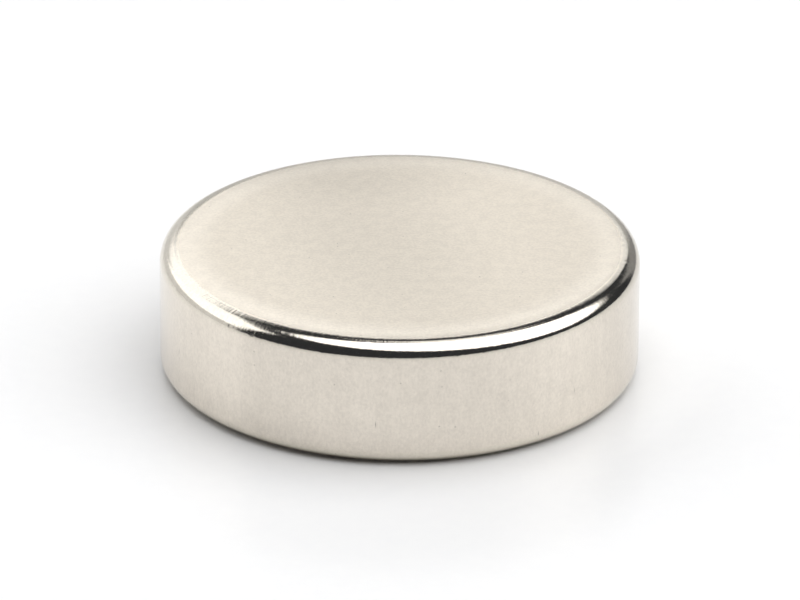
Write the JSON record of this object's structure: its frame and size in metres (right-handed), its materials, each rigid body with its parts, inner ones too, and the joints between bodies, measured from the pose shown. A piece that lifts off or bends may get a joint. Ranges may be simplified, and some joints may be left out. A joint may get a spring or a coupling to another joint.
{
  "type": "disc magnet",
  "caption": "Round flat disc magnet, plated, with satin faces, rounded edges and a polished side, for holding steel parts, notes and catches.",
  "frame": {"origin": "middle of the lower face, on the surface that the disc lies on", "axes": "+Z along the disc's axis, from the lower face to the upper face; X and Y are free, because the disc is round"},
  "size_m": [0.022, 0.022, 0.006],
  "materials": {
    "nickel_plating": "nickel plate: satin, fine-grained flat faces, polished rounded edges and a near-mirror side with faint grinding lines"
  },
  "bodies": {
    "root": {"disc_magnet": "nickel_plating"}
  },
  "joints": []
}
